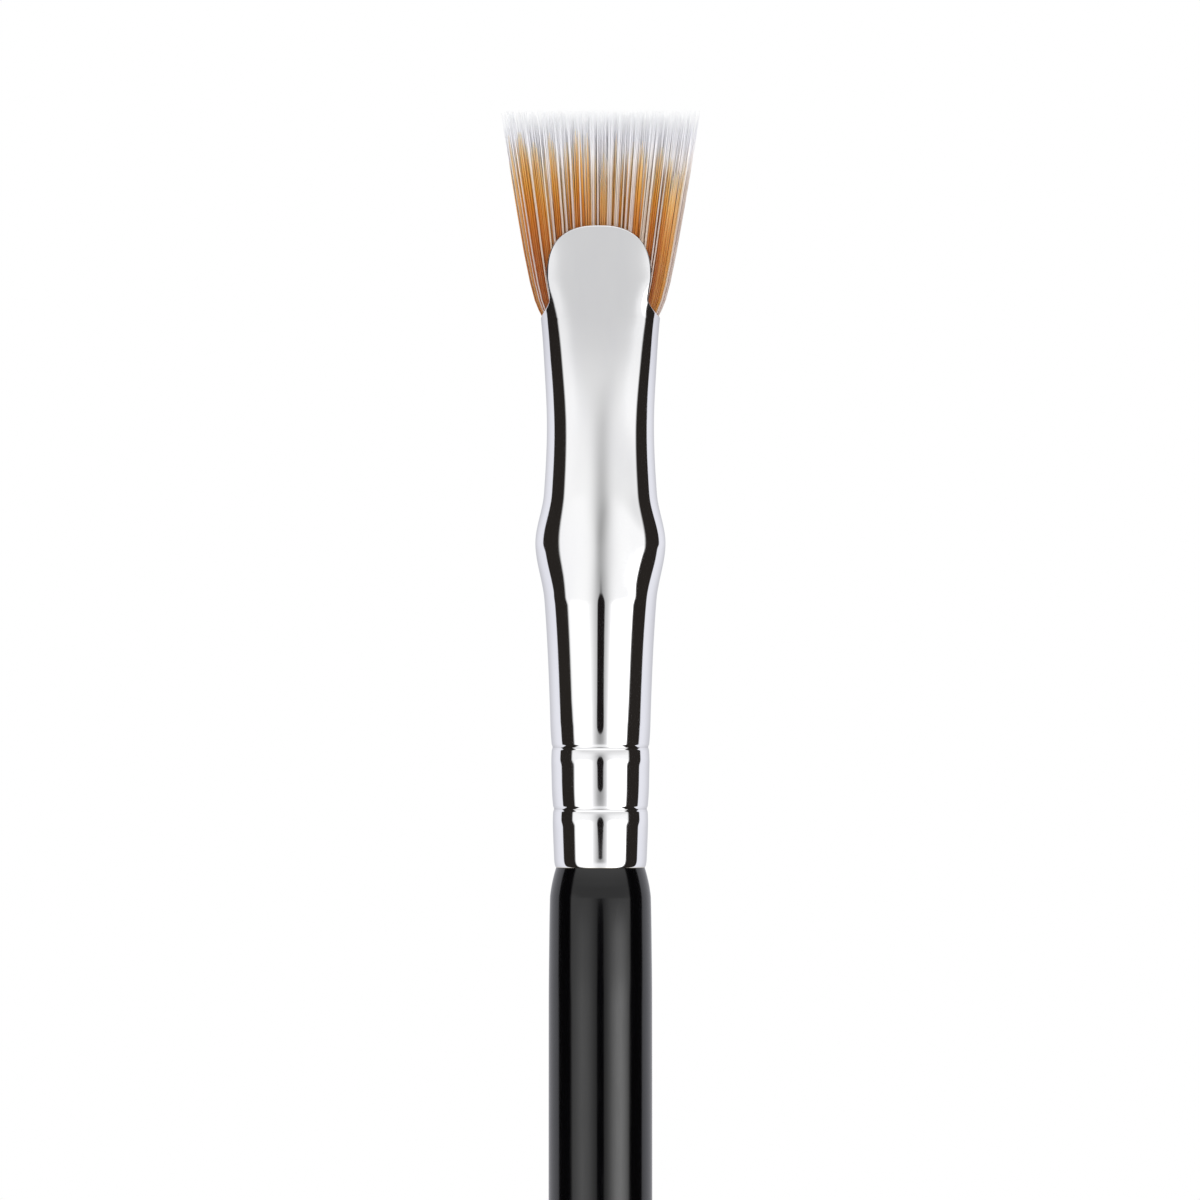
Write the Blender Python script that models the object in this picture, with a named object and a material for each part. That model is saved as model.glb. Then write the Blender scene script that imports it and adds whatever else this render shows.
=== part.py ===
"""Duo-fibre fan brush for make-up, standing on the tail of its handle with its tips up.

Metres, +Z up along the handle. The origin is the middle of the small flat on the handle's tail.
The broad side of the fan faces -Y, and its long edge runs along X.
Heights called RISE are measured from the station before them, so the stations never change order.
"""

import math
import random

import bmesh
import bpy

# Roundness: all round pieces share these columns, so neighbouring walls stay parallel
HALF_COLUMNS = 20

# Handle: turned wood with a glued tenon
HANDLE_LENGTH = 0.1253
TAIL_FLAT_RADIUS = 0.0010
TAIL_RADIUS = 0.0023
TAIL_DOME_HEIGHT = 0.0026
TAIL_DOME_STEPS = 4
GRIP_RADIUS = 0.00379
GRIP_TO_FERRULE = 0.026
GRIP_TOP_RADIUS = 0.00375
GRIP_TOP_TO_FERRULE = 0.0059
SHOULDER_RADIUS = 0.00317
SHOULDER_HEIGHT = 0.0023
SHOULDER_SIDE_SHARE = 0.88
SHOULDER_DROP_SHARES = (1.0, 0.7, 0.4, 0.2, 0.0)
SHOULDER_GROWTH_SHARES = (1.0, 0.80, 0.50, 0.28, 0.0)
TENON_LENGTH = 0.0140
TENON_CHAMFER = 0.0005
TENON_PROBES = 40
TAPER_HEIGHT_SHARES = (0.0, 0.2, 0.4, 0.6, 0.8, 1.0)
TAPER_GROWTH_SHARES = (0.0, 0.13, 0.34, 0.60, 0.85, 1.0)

# Ferrule: one seamless tube, round at the handle, pressed oval at the waist and flat at the mouth
FERRULE_WALL = 0.0003
BASE_RADIUS = 0.00331
BASE_EDGE_ROUND = 0.00015
BASE_EDGE_HEIGHT = 0.0006
BASE_EDGE_STEPS = 3
BARREL_HEIGHT = 0.0027
BARREL_RADIUS = 0.00342
LOWER_CRIMP_HEIGHT = 0.00425
CRIMP_SPACING = 0.00444
CRIMP_DEPTH = 0.00012
CRIMP_REACH_BELOW = 0.0007
CRIMP_REACH_ABOVE = 0.0016
OUTER_CRIMP_SHARES = (-1.0, -0.5, -0.2, 0.0, 0.2, 0.5, 1.0)
INNER_CRIMP_SHARES = (-1.0, 0.0, 1.0)
OUTER_SPAN_STEPS = (1, 3, 4, 3, 2, 2, 3)
INNER_SPAN_STEPS = (1, 1, 2, 1, 1, 1, 2)
COLLAR_RISE = 0.0034
COLLAR_RADIUS = 0.00366
FLARE_RISE = 0.0072
FLARE_HALF_WIDTH = 0.00404
FLARE_HALF_DEPTH = 0.00364
BULGE_RISE = 0.0041
BULGE_HALF_WIDTH = 0.00470
BULGE_HALF_DEPTH = 0.00350
RECOVERY_RISE = 0.0036
RECOVERY_HALF_WIDTH = 0.00407
NECK_RISE = 0.0048
NECK_HALF_WIDTH = 0.00386
NECK_HALF_DEPTH = 0.00326
PRESS_RISE = 0.0048
PRESS_HALF_WIDTH = 0.00407
PRESS_HALF_DEPTH = 0.00308
MOUTH_RISE = 0.0030
MOUTH_HALF_WIDTH = 0.00430
MOUTH_HALF_DEPTH = 0.00275
ROUND_POWER = 2.0
MOUTH_POWER = 2.2
TONGUE_POWER = 3.6

# Tongues: the rounded front and back lips left standing between the two side notches
TONGUE_RISE = 0.0067
PINCH_RISE = 0.0013
PINCH_HALF_WIDTH = 0.00366
WIDEST_RISE = 0.0029
TONGUE_HALF_WIDTH = 0.00386
TONGUE_SPREAD_HALF_WIDTH = 0.00447
TONGUE_TOP_HALF_DEPTH = 0.00205
TONGUE_HEAD_POWER = 2.6
TONGUE_TOP_SHARE = 0.4
LOWER_TONGUE_SHARES = (0.05, 0.15, 0.30, 0.48, 0.72, 1.0)
UPPER_TONGUE_SHARES = (0.35, 0.62, 0.83, 1.0)

# Fits between the pieces
SEAT_GAP = 0.0001
GLUE_GAP = 0.00006
GLUE_LAYER = 0.0002
RESIN_GAP = 0.0001
LAYER_GAP = 0.0001

# Glue, thread and resin hidden in the ferrule
GLUE_BELOW_TENON_TOP = 0.0010
AIR_SPACE = 0.0030
THREAD_ABOVE_PLUG = 0.0015
THREAD_HEIGHT = 0.0018
THREAD_THICKNESS = 0.00035
LAYER_HEIGHT = 0.0045
PLUG_STEPS = 6

# Fan of filaments: straight rows, spread sideways and pressed together front to back
KNEE_RISE = 0.0019
KNEE_HALF_WIDTH = 0.0049
FAN_RISE = 0.0150
TIP_HALF_WIDTH = 0.0074
MOUTH_CLEARANCE = 0.0001
STRAND_CLEARANCE = 0.00008
AMBER_SHORTER_BY = 0.0026
WHITE_TIP_SPREAD = 0.0009
AMBER_TIP_SPREAD = 0.0034
ROW_SHARES = (-0.94, -0.705, -0.47, -0.235, 0.0, 0.235, 0.47, 0.705, 0.94)
KNEE_DEPTH_SHARE = 0.18
ROOT_SHARE = 0.86
KNEE_WIDTH_SHARE = 0.80
OUTER_ROOT_SHARE = 0.72
OUTER_KNEE_WIDTH_SHARE = 0.68
ROW_STAGGER_SHARE = 0.18
TIP_WANDER_SHARE = 0.35
KNEE_POWER = 2.2
TIP_POWER = 4.0
OUTER_STRANDS = 26
INNER_STRANDS = 46
CORE_STRANDS = 48
SEED = 7

# Heights that follow from the sizes above
FERRULE_BASE = HANDLE_LENGTH + SEAT_GAP
UPPER_CRIMP_HEIGHT = LOWER_CRIMP_HEIGHT + CRIMP_SPACING
COLLAR_HEIGHT = UPPER_CRIMP_HEIGHT + COLLAR_RISE
FLARE_HEIGHT = COLLAR_HEIGHT + FLARE_RISE
BULGE_HEIGHT = FLARE_HEIGHT + BULGE_RISE
RECOVERY_HEIGHT = BULGE_HEIGHT + RECOVERY_RISE
NECK_HEIGHT = RECOVERY_HEIGHT + NECK_RISE
PRESS_HEIGHT = NECK_HEIGHT + PRESS_RISE
MOUTH_HEIGHT = PRESS_HEIGHT + MOUTH_RISE
TONGUE_TOP_HEIGHT = MOUTH_HEIGHT + TONGUE_RISE
ROOT_HEIGHT = MOUTH_HEIGHT - MOUTH_CLEARANCE
KNEE_HEIGHT = MOUTH_HEIGHT + KNEE_RISE
TIP_HEIGHT = MOUTH_HEIGHT + FAN_RISE
LAYER_BASE_HEIGHT = ROOT_HEIGHT - LAYER_HEIGHT
PLUG_TOP_HEIGHT = LAYER_BASE_HEIGHT - RESIN_GAP
PLUG_BASE_HEIGHT = TENON_LENGTH + AIR_SPACE
THREAD_BASE_HEIGHT = PLUG_BASE_HEIGHT + THREAD_ABOVE_PLUG
THREAD_TOP_HEIGHT = THREAD_BASE_HEIGHT + THREAD_HEIGHT

SPAN_TOP_HEIGHTS = (
    COLLAR_HEIGHT,
    FLARE_HEIGHT,
    BULGE_HEIGHT,
    RECOVERY_HEIGHT,
    NECK_HEIGHT,
    PRESS_HEIGHT,
    MOUTH_HEIGHT,
)
WIDTH_STATIONS = (
    (0.0, BASE_RADIUS),
    (BARREL_HEIGHT, BARREL_RADIUS),
    (COLLAR_HEIGHT, COLLAR_RADIUS),
    (FLARE_HEIGHT, FLARE_HALF_WIDTH),
    (BULGE_HEIGHT, BULGE_HALF_WIDTH),
    (RECOVERY_HEIGHT, RECOVERY_HALF_WIDTH),
    (NECK_HEIGHT, NECK_HALF_WIDTH),
    (PRESS_HEIGHT, PRESS_HALF_WIDTH),
    (MOUTH_HEIGHT, MOUTH_HALF_WIDTH),
    (TONGUE_TOP_HEIGHT, TONGUE_SPREAD_HALF_WIDTH),
)
DEPTH_STATIONS = (
    (0.0, BASE_RADIUS),
    (BARREL_HEIGHT, BARREL_RADIUS),
    (COLLAR_HEIGHT, COLLAR_RADIUS),
    (FLARE_HEIGHT, FLARE_HALF_DEPTH),
    (BULGE_HEIGHT, BULGE_HALF_DEPTH),
    (NECK_HEIGHT, NECK_HALF_DEPTH),
    (PRESS_HEIGHT, PRESS_HALF_DEPTH),
    (MOUTH_HEIGHT, MOUTH_HALF_DEPTH),
    (TONGUE_TOP_HEIGHT, TONGUE_TOP_HALF_DEPTH),
)
POWER_STATIONS = (
    (0.0, ROUND_POWER),
    (PRESS_HEIGHT, ROUND_POWER),
    (MOUTH_HEIGHT, MOUTH_POWER),
    (MOUTH_HEIGHT + WIDEST_RISE, TONGUE_POWER),
    (TONGUE_TOP_HEIGHT, TONGUE_POWER),
)
NOTCH_STATIONS = (
    (0.0, MOUTH_HALF_WIDTH),
    (PINCH_RISE, PINCH_HALF_WIDTH),
    (WIDEST_RISE, TONGUE_HALF_WIDTH),
)


def mix(first, second, share):
    return first + (second - first) * share


def smooth(stations, at):
    """A smooth curve through the stations that never swings past them."""
    places = [place for place, _ in stations]
    values = [value for _, value in stations]
    if at <= places[0]:
        return values[0]
    if at >= places[-1]:
        return values[-1]
    spans = [b - a for a, b in zip(places, places[1:])]
    slopes = [(b - a) / span for a, b, span in zip(values, values[1:], spans)]
    tangents = [slopes[0]]
    for before, after in zip(slopes, slopes[1:]):
        level = before * after <= 0
        tangents.append(0.0 if level else 2 * before * after / (before + after))
    tangents.append(slopes[-1])
    i = max(k for k, place in enumerate(places[:-1]) if place <= at)
    s = (at - places[i]) / spans[i]
    rise = s * s * (3 - 2 * s)
    lead = s * (1 - s) * (1 - s) * spans[i] * tangents[i]
    trail = s * s * (1 - s) * spans[i] * tangents[i + 1]
    return mix(values[i], values[i + 1], rise) + lead - trail


def crimp_reach(away):
    """How far a crease runs out on the side a height is on: steep below and slow above."""
    return CRIMP_REACH_ABOVE if away > 0 else CRIMP_REACH_BELOW


def crimp(height):
    """How far the two crimps draw the tube in at a height: creases with a barrel between them."""
    depth = 0.0
    for centre in (LOWER_CRIMP_HEIGHT, UPPER_CRIMP_HEIGHT):
        away = height - centre
        nearness = max(0.0, 1 - abs(away) / crimp_reach(away))
        depth += CRIMP_DEPTH * nearness * nearness
    return depth


def edge_round(height):
    """How far the rolled base edge draws the outside of the tube in at a height."""
    low = max(0.0, 1 - height / BASE_EDGE_HEIGHT)
    return BASE_EDGE_ROUND * (1 - math.sqrt(1 - low * low))


def half_width(height):
    return smooth(WIDTH_STATIONS, height) - crimp(height)


def half_depth(height):
    return smooth(DEPTH_STATIONS, height) - crimp(height)


def oval(share, power):
    """How deep an oval is at a share of its half width, as a share of its half depth."""
    return max(0.0, 1 - abs(share) ** power) ** (1 / power)


def wall_point(height, inset, share, side):
    """A point on the tube's wall: share runs -1 to 1 across X, side is -1 in front and 1 behind."""
    across = (half_width(height) - inset) * share
    deep = (half_depth(height) - inset) * oval(share, smooth(POWER_STATIONS, height))
    return (across, side * deep, FERRULE_BASE + height)


def column_shares():
    """Where the columns of a half ring stand, from -1 to 1, evenly round a circle."""
    return [-math.cos(math.pi * k / HALF_COLUMNS) for k in range(HALF_COLUMNS + 1)]


def tube_ring(height, inset):
    """A whole ring of the tube's section, the front half first."""
    shares = column_shares()
    front = [wall_point(height, inset, share, -1) for share in shares]
    back = [wall_point(height, inset, share, 1) for share in reversed(shares[1:-1])]
    return front + back


def round_ring(height, radius):
    """A whole ring of a circle, with the same columns as tube_ring."""
    turns = range(2 * HALF_COLUMNS)
    angles = [math.pi + math.pi * k / HALF_COLUMNS for k in turns]
    return [(radius * math.cos(a), radius * math.sin(a), height) for a in angles]


def material(name, colour, roughness, metallic=0.0, coat=0.0):
    made = bpy.data.materials.new(name)
    made.use_nodes = True
    shader = made.node_tree.nodes["Principled BSDF"]
    shader.inputs["Base Color"].default_value = (*colour, 1.0)
    shader.inputs["Roughness"].default_value = roughness
    shader.inputs["Metallic"].default_value = metallic
    shader.inputs["Coat Weight"].default_value = coat
    return made


def piece(name, body, surface, sharp_angle=math.radians(40)):
    """Turns a bmesh into a named object with outward faces, smooth but for its sharp edges."""
    bmesh.ops.recalc_face_normals(body, faces=body.faces[:])
    mesh = bpy.data.meshes.new(name)
    body.to_mesh(mesh)
    body.free()
    mesh.shade_smooth()
    mesh.set_sharp_from_angle(angle=sharp_angle)
    mesh.materials.append(surface)
    made = bpy.data.objects.new(name, mesh)
    bpy.context.scene.collection.objects.link(made)
    return made


def add_rings(body, rings):
    return [[body.verts.new(point) for point in ring] for ring in rings]


def bridge(body, first, second, closed=True):
    """Quads between two rows of corners."""
    count = len(first)
    for k in range(count if closed else count - 1):
        after = (k + 1) % count
        body.faces.new((first[k], first[after], second[after], second[k]))


def skin(body, rows, closed=True):
    """Quads between each row of corners and the next."""
    for lower, upper in zip(rows, rows[1:]):
        bridge(body, lower, upper, closed)


def lofted(name, rings, surface):
    """A solid through closed rings, with flat ends."""
    body = bmesh.new()
    rows = add_rings(body, rings)
    skin(body, rows)
    body.faces.new(rows[0])
    body.faces.new(rows[-1])
    return piece(name, body, surface)


def sleeve(name, outer_rings, inner_rings, surface):
    """A tube open at both ends, between an outer and an inner wall."""
    body = bmesh.new()
    outer = add_rings(body, outer_rings)
    inner = add_rings(body, inner_rings)
    skin(body, outer)
    skin(body, inner)
    bridge(body, outer[0], inner[0])
    bridge(body, outer[-1], inner[-1])
    return piece(name, body, surface)


def steps_between(low, high, count):
    return [mix(low, high, k / count) for k in range(count + 1)]


def tenon_radius():
    """The tenon clears the narrowest place of the tube around it by the glue and its gaps."""
    levels = steps_between(0.0, TENON_LENGTH, TENON_PROBES)
    levels += [LOWER_CRIMP_HEIGHT, UPPER_CRIMP_HEIGHT]
    narrowest = min(min(half_width(z), half_depth(z)) for z in levels if z <= TENON_LENGTH)
    return narrowest - FERRULE_WALL - 2 * GLUE_GAP - GLUE_LAYER


def quarter_round(count):
    """Shares along and across a quarter ellipse, from its side to its top."""
    turns = [math.pi / 2 * k / count for k in range(count + 1)]
    return [(math.sin(turn), math.cos(turn)) for turn in turns]


def make_handle():
    rings = []
    for along, across in reversed(quarter_round(TAIL_DOME_STEPS)):
        radius = mix(TAIL_FLAT_RADIUS, TAIL_RADIUS, across)
        rings.append(round_ring(TAIL_DOME_HEIGHT * (1 - along), radius))
    grip_height = HANDLE_LENGTH - GRIP_TO_FERRULE
    for rise, growth in zip(TAPER_HEIGHT_SHARES[1:], TAPER_GROWTH_SHARES[1:]):
        height = mix(TAIL_DOME_HEIGHT, grip_height, rise)
        rings.append(round_ring(height, mix(TAIL_RADIUS, GRIP_RADIUS, growth)))
    rings.append(round_ring(HANDLE_LENGTH - GRIP_TOP_TO_FERRULE, GRIP_TOP_RADIUS))
    shoulder_side = mix(SHOULDER_RADIUS, GRIP_TOP_RADIUS, SHOULDER_SIDE_SHARE)
    for drop, growth in zip(SHOULDER_DROP_SHARES, SHOULDER_GROWTH_SHARES):
        radius = mix(SHOULDER_RADIUS, shoulder_side, growth)
        rings.append(round_ring(HANDLE_LENGTH - SHOULDER_HEIGHT * drop, radius))
    tenon = tenon_radius()
    tenon_top = FERRULE_BASE + TENON_LENGTH
    rings.append(round_ring(HANDLE_LENGTH, tenon))
    rings.append(round_ring(tenon_top - TENON_CHAMFER, tenon))
    rings.append(round_ring(tenon_top, tenon - TENON_CHAMFER))
    lacquer = material("black_lacquered_wood", (0.012, 0.012, 0.015), 0.12, coat=1.0)
    return lofted("handle", rings, lacquer)


def crimp_levels(shares):
    """Heights round both crimps, at shares of their reach."""
    centres = (LOWER_CRIMP_HEIGHT, UPPER_CRIMP_HEIGHT)
    return sorted(centre + share * crimp_reach(share) for centre in centres for share in shares)


def up_the_tube(levels, steps):
    """The levels, and after them evenly spaced heights up to each station in turn."""
    for top, count in zip(SPAN_TOP_HEIGHTS, steps):
        levels += steps_between(levels[-1], top, count)[1:]
    return levels


def outer_levels():
    edge = [BASE_EDGE_HEIGHT * (1 - across) for _, across in quarter_round(BASE_EDGE_STEPS)]
    return up_the_tube(edge + crimp_levels(OUTER_CRIMP_SHARES), OUTER_SPAN_STEPS)


def inner_levels():
    return up_the_tube([0.0] + crimp_levels(INNER_CRIMP_SHARES), INNER_SPAN_STEPS)


def tongue_rows(inset, side):
    """Rows of one tongue's wall above the mouth: along the notches, then over its round head."""
    rows = []
    for share in LOWER_TONGUE_SHARES:
        rise = WIDEST_RISE * share
        edge = smooth(NOTCH_STATIONS, rise)
        rows.append([(edge, rise, column) for column in column_shares()])
    head = TONGUE_RISE - WIDEST_RISE
    side_rise = head * oval(TONGUE_TOP_SHARE, TONGUE_HEAD_POWER)
    for share in UPPER_TONGUE_SHARES:
        edge = TONGUE_HALF_WIDTH * oval(side_rise * share / head, TONGUE_HEAD_POWER)
        row = []
        for column in column_shares():
            top = head * oval(TONGUE_TOP_SHARE * column, TONGUE_HEAD_POWER)
            row.append((edge, WIDEST_RISE + top * share, column))
        rows.append(row)
    points = []
    for row in rows:
        line = []
        for edge, rise, column in row:
            height = MOUTH_HEIGHT + rise
            line.append(wall_point(height, inset, column * edge / half_width(height), side))
        points.append(line)
    return points


def half_of(ring, side):
    """The front or back half of a whole ring, both ends included, from -X to +X."""
    if side < 0:
        return ring[: HALF_COLUMNS + 1]
    return [ring[0]] + ring[:HALF_COLUMNS:-1] + [ring[HALF_COLUMNS]]


def make_ferrule():
    body = bmesh.new()
    outer_rings = [tube_ring(height, edge_round(height)) for height in outer_levels()]
    inner_rings = [tube_ring(height, FERRULE_WALL) for height in inner_levels()]
    walls = [add_rings(body, rings) for rings in (outer_rings, inner_rings)]
    for wall in walls:
        skin(body, wall)
    bridge(body, walls[0][0], walls[1][0])
    for side in (-1, 1):
        tongues = []
        for wall, inset in zip(walls, (0.0, FERRULE_WALL)):
            rows = [half_of(wall[-1], side)] + add_rings(body, tongue_rows(inset, side))
            skin(body, rows, closed=False)
            tongues.append(rows)
        outer, inner = tongues
        bridge(body, outer[-1], inner[-1], closed=False)
        for end in (0, -1):
            bridge(body, [row[end] for row in outer], [row[end] for row in inner], closed=False)
    plating = material("nickel_plated_metal", (0.86, 0.86, 0.87), 0.06, metallic=1.0)
    return piece("ferrule", body, plating)


def make_tenon_glue():
    top = TENON_LENGTH - GLUE_BELOW_TENON_TOP
    levels = [SEAT_GAP] + [z for z in inner_levels() if SEAT_GAP < z < top] + [top]
    outer = [tube_ring(height, FERRULE_WALL + GLUE_GAP) for height in levels]
    bore = tenon_radius() + GLUE_GAP
    inner = [round_ring(FERRULE_BASE + height, bore) for height in (levels[0], top)]
    return sleeve("tenon_glue", outer, inner, material("dried_wood_glue", (0.72, 0.60, 0.38), 0.45))


def make_resin_plug():
    inset = FERRULE_WALL + RESIN_GAP
    waist = inset + THREAD_THICKNESS + RESIN_GAP
    rings = [
        tube_ring(PLUG_BASE_HEIGHT, inset),
        tube_ring(THREAD_BASE_HEIGHT - RESIN_GAP, inset),
        tube_ring(THREAD_BASE_HEIGHT - RESIN_GAP, waist),
        tube_ring(THREAD_TOP_HEIGHT + RESIN_GAP, waist),
    ]
    for height in steps_between(THREAD_TOP_HEIGHT + RESIN_GAP, PLUG_TOP_HEIGHT, PLUG_STEPS):
        rings.append(tube_ring(height, inset))
    return lofted("resin_plug", rings, material("clear_resin", (0.80, 0.66, 0.36), 0.2))


def make_binding_thread():
    inset = FERRULE_WALL + RESIN_GAP
    levels = (THREAD_BASE_HEIGHT, THREAD_TOP_HEIGHT)
    outer = [tube_ring(height, inset) for height in levels]
    inner = [tube_ring(height, inset + THREAD_THICKNESS) for height in levels]
    return sleeve("binding_thread", outer, inner, material("waxed_thread", (0.75, 0.72, 0.65), 0.8))


def root_point(height, row_share, column_share, shift):
    """A place in the bundle where it is packed inside the tube."""
    inset = FERRULE_WALL + MOUTH_CLEARANCE
    power = smooth(POWER_STATIONS, height)
    across = (half_width(height) - inset) * oval(row_share, power) * column_share
    deep = (half_depth(height) - inset) * row_share + shift
    return (across, deep, FERRULE_BASE + height)


def fan_depths():
    """Half depths of the fan at its knee and its tips: it stays between the tongues all the way."""
    inset = FERRULE_WALL + STRAND_CLEARANCE
    at_root = half_depth(ROOT_HEIGHT) - inset
    at_tongue = half_depth(TONGUE_TOP_HEIGHT) - inset
    at_knee = mix(at_tongue, at_root, KNEE_DEPTH_SHARE)
    thinning = (at_knee - at_tongue) / (TONGUE_RISE - KNEE_RISE)
    return at_knee, at_knee - thinning * (FAN_RISE - KNEE_RISE)


def strand_place(row_share, column_share, rise_share):
    """Where a strand's middle is between the knee, at a share of 0, and the tips, at 1."""
    knee_depth, tip_depth = fan_depths()
    width = mix(KNEE_HALF_WIDTH, TIP_HALF_WIDTH, rise_share)
    reach = mix(oval(row_share, KNEE_POWER), oval(row_share, TIP_POWER), rise_share)
    height = mix(KNEE_HEIGHT, TIP_HEIGHT, rise_share)
    deep = row_share * mix(knee_depth, tip_depth, rise_share)
    return (width * reach * column_share, deep, FERRULE_BASE + height)


def middle_of(corners):
    return [sum(values) / len(corners) for values in zip(*(corner.co for corner in corners))]


def twist(body, lower, upper):
    """Triangles between two four-sided rings, split so that opposite sides stay parallel."""
    for k in range(4):
        after = (k + 1) % 4
        if k < 2:
            body.faces.new((lower[k], lower[after], upper[after]))
            body.faces.new((lower[k], upper[after], upper[k]))
        else:
            body.faces.new((lower[k], lower[after], upper[k]))
            body.faces.new((lower[after], upper[after], upper[k]))


def grow_strand(body, cell, rows, columns, shares, tip_share, wander):
    """One tapering four-sided strand that rises from the middle of a cell of the packed bundle."""
    root_share, knee_share = shares
    middle = middle_of(cell)
    root = []
    for corner in cell:
        spot = [mix(m, c, root_share) for m, c in zip(middle, corner.co)]
        root.append(body.verts.new(spot))
    bridge(body, cell, root)
    row = sum(rows) / 2
    column = sum(columns) / 2
    half_row = (rows[1] - rows[0]) / 2 * KNEE_WIDTH_SHARE
    half_column = (columns[1] - columns[0]) / 2 * knee_share
    knee = []
    for deep, across in ((-1, -1), (-1, 1), (1, 1), (1, -1)):
        x, _, z = strand_place(row, column + across * half_column, 0.0)
        _, y, _ = strand_place(row + deep * half_row, column, 0.0)
        knee.append(body.verts.new((x, y, z)))
    twist(body, root, knee)
    spread = (columns[1] - columns[0]) * wander
    tip = body.verts.new(strand_place(row, column + spread, tip_share))
    for k, corner in enumerate(knee):
        body.faces.new((corner, knee[(k + 1) % len(knee)], tip))


def rim_of(grid):
    """Once round the edge of a grid of rows."""
    right = [row[-1] for row in grid[1:-1]]
    left = [row[0] for row in grid[-2:0:-1]]
    return grid[0] + right + grid[-1][::-1] + left


def make_layer(name, rows, strands, shares, shorter_by, tip_spread, surface, chance):
    """A layer of filaments: its packed, glued roots as one slice, and its free strands."""
    body = bmesh.new()
    lines = [-1 + 2 * k / strands for k in range(strands + 1)]
    shifts = [0.0] * len(rows)
    shifts[0] = LAYER_GAP / 2
    shifts[-1] = -LAYER_GAP / 2
    grids = []
    for height in (LAYER_BASE_HEIGHT, ROOT_HEIGHT):
        grid = []
        for row, shift in zip(rows, shifts):
            grid.append([root_point(height, row, line, shift) for line in lines])
        grids.append(grid)
    foot = [body.verts.new(point) for point in rim_of(grids[0])]
    top = add_rings(body, grids[1])
    bridge(body, foot, rim_of(top))
    body.faces.new(foot)
    fan_length = FAN_RISE - KNEE_RISE
    for i in range(len(rows) - 1):
        stagger = ROW_STAGGER_SHARE * (lines[1] - lines[0]) * (-1) ** i
        for k in range(strands):
            cell = (top[i][k], top[i][k + 1], top[i + 1][k + 1], top[i + 1][k])
            columns = [mix(lines[k], lines[k + 1], share) + stagger for share in (0, 1)]
            length = fan_length - shorter_by - tip_spread * chance.random()
            wander = TIP_WANDER_SHARE * chance.uniform(-1, 1)
            grow_strand(body, cell, rows[i : i + 2], columns, shares, length / fan_length, wander)
    return piece(name, body, surface)


def make_fan():
    chance = random.Random(SEED)
    white = material("white_filament", (0.80, 0.76, 0.78), 0.35)
    amber = material("amber_filament", (0.50, 0.20, 0.05), 0.35)
    full = (ROOT_SHARE, KNEE_WIDTH_SHARE)
    sparse = (OUTER_ROOT_SHARE, OUTER_KNEE_WIDTH_SHARE)
    white_tips = (0.0, WHITE_TIP_SPREAD, white)
    amber_tips = (AMBER_SHORTER_BY, AMBER_TIP_SPREAD, amber)
    layers = (
        ("white_filaments_front", ROW_SHARES[0:2], OUTER_STRANDS, sparse, white_tips),
        ("amber_filaments_front", ROW_SHARES[1:4], INNER_STRANDS, full, amber_tips),
        ("white_filaments_core", ROW_SHARES[3:6], CORE_STRANDS, full, white_tips),
        ("amber_filaments_back", ROW_SHARES[5:8], INNER_STRANDS, full, amber_tips),
        ("white_filaments_back", ROW_SHARES[7:9], OUTER_STRANDS, sparse, white_tips),
    )
    for name, rows, strands, shares, tips in layers:
        make_layer(name, rows, strands, shares, *tips, chance)


def main():
    for old in list(bpy.data.objects):
        bpy.data.objects.remove(old)
    make_handle()
    make_ferrule()
    make_tenon_glue()
    make_resin_plug()
    make_binding_thread()
    make_fan()


main()
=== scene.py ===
"""Looks of a duo-fibre fan brush for make-up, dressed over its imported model.

Metres, +Z up along the handle, with the brush standing on its tail. The broad side faces -Y.
"""

import math
import random

import bmesh
import bpy
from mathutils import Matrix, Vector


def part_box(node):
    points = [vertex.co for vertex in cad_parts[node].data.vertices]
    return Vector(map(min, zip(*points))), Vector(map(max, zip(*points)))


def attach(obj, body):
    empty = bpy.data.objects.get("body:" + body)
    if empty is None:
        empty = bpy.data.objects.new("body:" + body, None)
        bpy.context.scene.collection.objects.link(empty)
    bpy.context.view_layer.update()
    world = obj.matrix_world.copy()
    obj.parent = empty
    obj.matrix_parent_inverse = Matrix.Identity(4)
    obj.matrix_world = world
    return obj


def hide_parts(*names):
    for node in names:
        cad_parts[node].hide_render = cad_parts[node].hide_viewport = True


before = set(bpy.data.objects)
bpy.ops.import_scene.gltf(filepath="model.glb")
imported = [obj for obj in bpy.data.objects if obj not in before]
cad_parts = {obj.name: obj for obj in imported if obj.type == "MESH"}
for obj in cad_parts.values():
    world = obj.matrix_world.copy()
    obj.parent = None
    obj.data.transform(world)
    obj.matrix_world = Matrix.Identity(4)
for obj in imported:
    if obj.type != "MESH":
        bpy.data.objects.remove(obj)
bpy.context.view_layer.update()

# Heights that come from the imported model
FERRULE_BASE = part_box("ferrule")[0].z
TONGUE_TOP_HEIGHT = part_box("ferrule")[1].z - FERRULE_BASE
TIP_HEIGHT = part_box("white_filaments_core")[1].z - FERRULE_BASE
LAYER_BASE_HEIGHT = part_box("white_filaments_core")[0].z - FERRULE_BASE
HANDLE_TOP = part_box("tenon_glue")[0].z
TENON_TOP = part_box("handle")[1].z

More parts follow.
